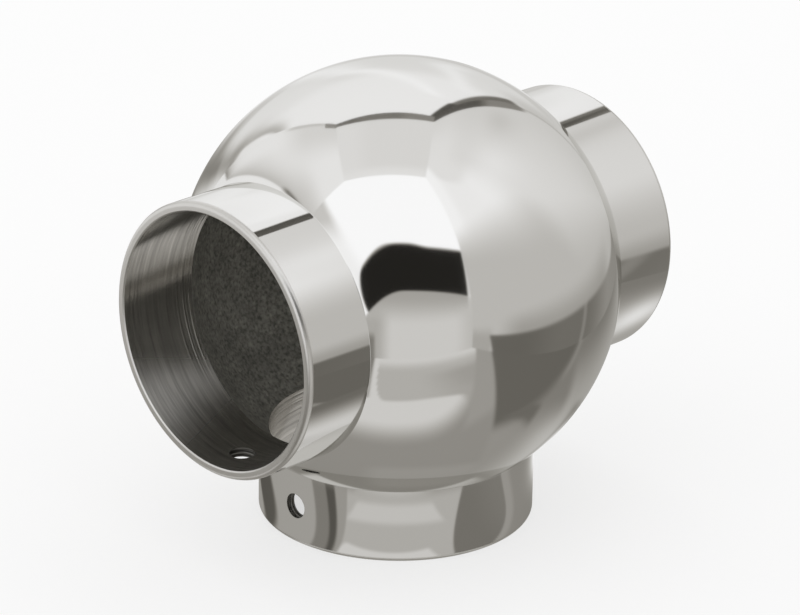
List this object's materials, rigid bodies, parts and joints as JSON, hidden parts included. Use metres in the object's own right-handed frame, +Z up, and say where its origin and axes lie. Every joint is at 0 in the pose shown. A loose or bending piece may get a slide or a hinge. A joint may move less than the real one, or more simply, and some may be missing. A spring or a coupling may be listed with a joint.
{
  "type": "ball tee tube fitting",
  "caption": "Hollow polished ball that joins round tubes in a tee: opposed run sockets and a branch socket at right angles, with a set-screw hole in each collar.",
  "frame": {"origin": "centre of the branch mouth, on which the fitting stands, straight below the centre of the ball", "axes": "+X along the run out of one run mouth, -Z out of the branch mouth, +Z up through the ball, +Y across"},
  "size_m": [0.099, 0.0874, 0.093],
  "materials": {
    "polished_steel": "mirror polished stainless steel outside, turned bores, rough cast hollow"
  },
  "bodies": {
    "root": {"tee_body": "polished_steel"}
  },
  "joints": []
}
